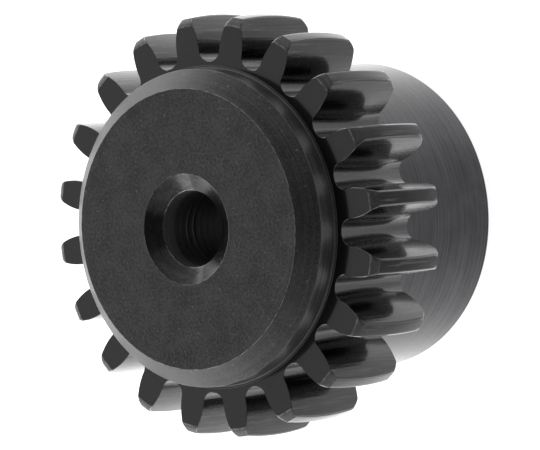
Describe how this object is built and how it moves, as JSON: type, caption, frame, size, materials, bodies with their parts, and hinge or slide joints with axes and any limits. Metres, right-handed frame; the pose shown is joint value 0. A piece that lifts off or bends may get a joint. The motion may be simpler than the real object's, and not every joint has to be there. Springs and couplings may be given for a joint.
{
  "type": "toothed coupling hub",
  "caption": "Steel hub with a ring of straight crowned teeth, chamfered nose, plain rear barrel, central bore and a radial set screw.",
  "frame": {"origin": "centre of the bore on the rear face, which the hub stands on", "axes": "+Z along the bore axis towards the nose; +X through the middle of one tooth; the set screw points along +Y"},
  "size_m": [0.0338, 0.0338, 0.023],
  "materials": {
    "turned_steel": "face-turned steel with a dark oxide finish, satin",
    "hobbed_steel": "hobbed steel with a dark oxide finish, fine lines along the teeth",
    "barrel_steel": "turned steel with a thin dark oxide finish, fine lines round the barrel",
    "screw_steel": "black oxide alloy steel"
  },
  "bodies": {
    "hub": {"flanged_core": "turned_steel", "tooth_ring": "hobbed_steel", "rear_collar": "barrel_steel"},
    "screw": {"set_screw": "screw_steel"}
  },
  "joints": [
    {"name": "set_screw_travel", "type": "slide", "parent": "hub", "child": "screw", "axis": [0, 1, 0], "range_m": [-0.0025, 0.0035]}
  ]
}
